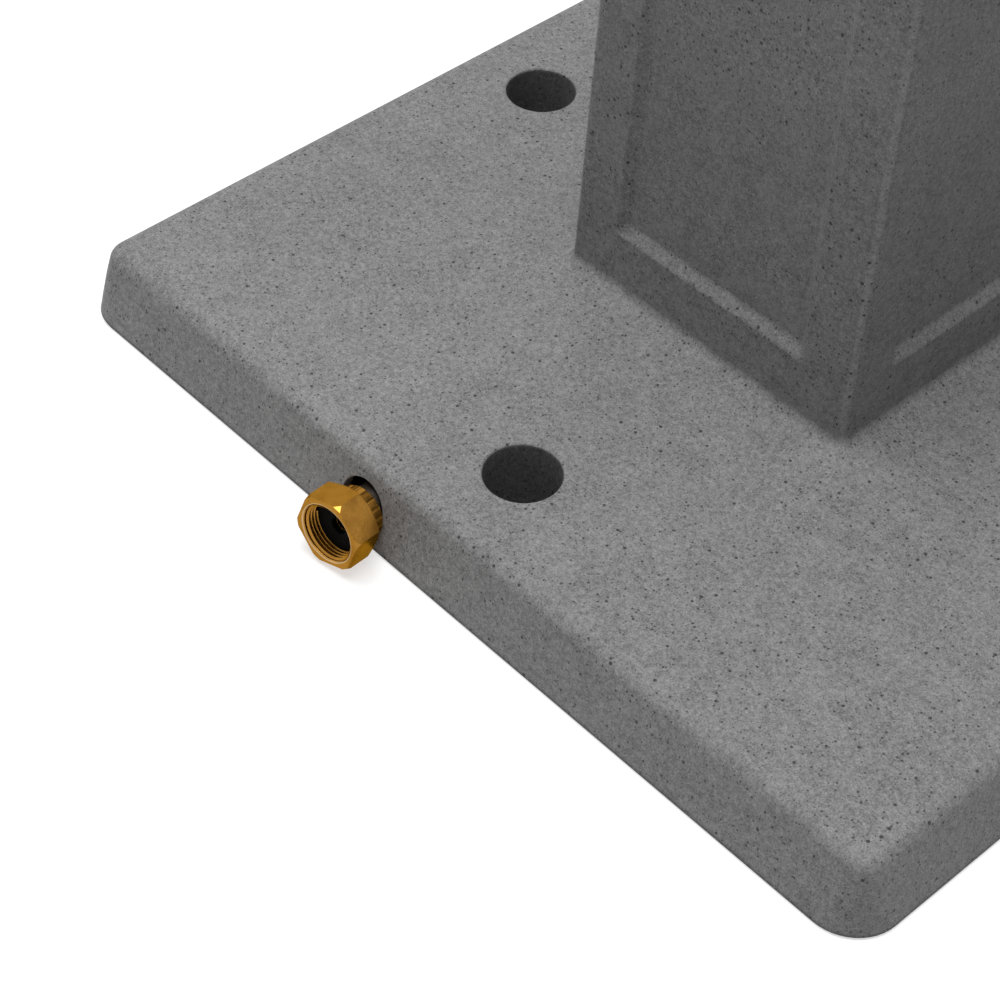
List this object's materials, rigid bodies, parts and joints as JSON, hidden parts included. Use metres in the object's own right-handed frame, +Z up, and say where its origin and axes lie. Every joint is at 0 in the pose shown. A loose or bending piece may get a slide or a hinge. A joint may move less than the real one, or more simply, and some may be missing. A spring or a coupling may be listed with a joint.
{
  "type": "garden standpipe",
  "caption": "Square moulded garden water post on a drafted base plate, with a screw-down bib tap, a hose inside and a swivel nut at its foot.",
  "frame": {"origin": "centre of the plate's underside, at the centre of the circle through the anchor holes", "axes": "+Z up along the column, -Y to the tap, +Y to the inlet at the back of the plate"},
  "size_m": [0.4792, 0.5014, 0.9705],
  "materials": {
    "granite_plastic": "moulded, matt, dark grey with black and pale speckles",
    "brass": "turned and lightly polished",
    "cast_brass": "cast and tumbled, satin",
    "stainless": "plain stainless",
    "ferrule_steel": "dark crimped sleeve",
    "black_rubber": "matt black",
    "fibre": "red-brown fibre"
  },
  "bodies": {
    "post": {"post_shell": "granite_plastic", "top_cap": "granite_plastic", "cap_screws": "stainless", "cap_inserts": "brass", "supply_hose": "black_rubber", "inlet_washer": "black_rubber", "inlet_tail": "brass", "inlet_ferrule": "ferrule_steel", "upper_ferrule": "ferrule_steel", "upper_tail": "brass", "upper_washer": "fibre", "upper_union_nut": "brass", "elbow": "cast_brass", "back_nut": "brass", "backing_washer": "stainless", "wall_flange": "brass", "tap_body": "cast_brass", "bonnet_washer": "fibre", "bonnet": "brass", "gland_packing": "black_rubber", "gland_nut": "brass", "outlet_washer": "black_rubber", "outlet_nut": "brass", "outlet_nozzle": "brass"},
    "valve": {"jumper": "brass", "tap_washer": "black_rubber", "washer_nut": "brass"},
    "spindle": {"spindle": "brass", "tee_handle": "cast_brass", "handle_screw": "brass"},
    "inlet_nut": {"inlet_swivel_nut": "brass"}
  },
  "joints": [
    {"name": "valve_lift", "type": "slide", "parent": "post", "child": "valve", "axis": [0, 0, 1], "range_m": [0, 0.006]},
    {"name": "handle_turn", "type": "hinge", "parent": "valve", "child": "spindle", "pos_m": [0, -0.11804, 0.88], "axis": [0, 0, 1], "range_deg": [0, 1080]},
    {"name": "inlet_nut_spin", "type": "hinge", "parent": "post", "child": "inlet_nut", "pos_m": [0.04065, 0.25201, 0.01831], "axis": [-0.1126, 0.9881, 0.1045], "continuous": true}
  ],
  "couplings": [
    {"joint": "valve_lift", "follows": "handle_turn", "m_per_rad": 0.00031831}
  ]
}
